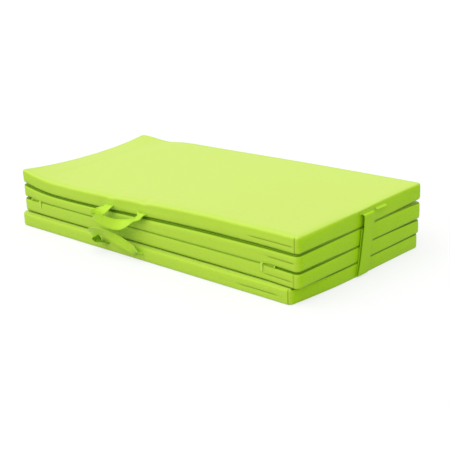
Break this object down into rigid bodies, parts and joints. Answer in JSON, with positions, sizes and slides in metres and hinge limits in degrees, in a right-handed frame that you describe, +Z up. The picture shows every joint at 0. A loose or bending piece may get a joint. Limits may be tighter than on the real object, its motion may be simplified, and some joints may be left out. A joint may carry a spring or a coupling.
{
  "type": "folding mattress",
  "caption": "Foam folding mattress in coated fabric, folded up accordion fashion, with ribbon handles, a zip at the front fold and a closing strap.",
  "frame": {"origin": "centre of the panels' plan, on the flat underside of the bottom panel", "axes": "+X along the panels to the end with the strap, +Y to the back, away from the handles and the zip, +Z up"},
  "size_m": [1.2209, 0.6577, 0.2135],
  "materials": {
    "cover": "lime green coated fabric with a fine leathery grain and a satin sheen",
    "foam": "cream open-cell foam",
    "ribbon": "lime green woven or folded ribbon",
    "zip_plastic": "lime green moulded coil",
    "zip_metal": "lime green paint on metal",
    "hook_and_loop": "lime green hook and loop tape"
  },
  "bodies": {
    "bottom_panel": {"bottom_cover": "cover", "bottom_foam": "foam", "lower_fold_strip": "cover", "strap_loop_patch": "hook_and_loop"},
    "third_panel": {"third_cover": "cover", "third_foam": "foam", "zip_lower_tape": "ribbon", "zip_lower_row": "zip_plastic", "zip_upper_row": "zip_plastic", "zip_left_stop": "zip_metal", "zip_right_stop": "zip_metal"},
    "second_panel": {"second_cover": "cover", "second_foam": "foam", "zip_upper_tape": "ribbon", "upper_fold_strip": "cover"},
    "top_panel": {"top_cover": "cover", "top_foam": "foam", "strap_anchor_tape": "ribbon", "side_tab": "ribbon"},
    "upper_handle_loop": {"upper_handle": "ribbon"},
    "lower_handle_loop": {"lower_handle": "ribbon"},
    "strap": {"closing_strap": "ribbon", "strap_hook_patch": "hook_and_loop"},
    "left_slider": {"zip_left_slider": "zip_metal"},
    "right_slider": {"zip_right_slider": "zip_metal"},
    "left_pull": {"zip_left_pull": "zip_metal"},
    "right_pull": {"zip_right_pull": "zip_metal"}
  },
  "joints": [
    {"name": "lower_fold", "type": "hinge", "parent": "bottom_panel", "child": "third_panel", "pos_m": [0, 0.302, 0.05], "axis": [-1, 0, 0], "range_deg": [0, 180], "deforming": ["lower_fold_strip"]},
    {"name": "zip_fold", "type": "hinge", "parent": "third_panel", "child": "second_panel", "pos_m": [0, -0.306, 0.1], "axis": [1, 0, 0], "range_deg": [0, 180], "deforming": ["zip_upper_tape", "upper_handle", "lower_handle"]},
    {"name": "upper_fold", "type": "hinge", "parent": "second_panel", "child": "top_panel", "pos_m": [0, 0.302, 0.15], "axis": [-1, 0, 0], "range_deg": [0, 180], "deforming": ["upper_fold_strip"]},
    {"name": "upper_handle_swing", "type": "hinge", "parent": "top_panel", "child": "upper_handle_loop", "pos_m": [-0.08, -0.3013, 0.15465], "axis": [-1, 0, 0], "range_deg": [0, 75]},
    {"name": "lower_handle_swing", "type": "hinge", "parent": "bottom_panel", "child": "lower_handle_loop", "pos_m": [-0.1025, -0.3113, 0.029], "axis": [-1, 0, 0], "range_deg": [-45, 0]},
    {"name": "strap_lift", "type": "hinge", "parent": "top_panel", "child": "strap", "pos_m": [0.6021, 0.023, 0.18775], "axis": [0, -1, 0], "range_deg": [0, 90]},
    {"name": "left_zip_slide", "type": "slide", "parent": "third_panel", "child": "left_slider", "axis": [1, 0, 0], "range_m": [-0.038, 0.48]},
    {"name": "right_zip_slide", "type": "slide", "parent": "third_panel", "child": "right_slider", "axis": [-1, 0, 0], "range_m": [-0.036, 0.44]},
    {"name": "left_pull_swing", "type": "hinge", "parent": "left_slider", "child": "left_pull", "pos_m": [-0.511, -0.3033, 0.1], "axis": [0, -1, 0], "range_deg": [-75, 75]},
    {"name": "right_pull_swing", "type": "hinge", "parent": "right_slider", "child": "right_pull", "pos_m": [0.473, -0.3033, 0.1], "axis": [0, -1, 0], "range_deg": [-75, 75]}
  ]
}
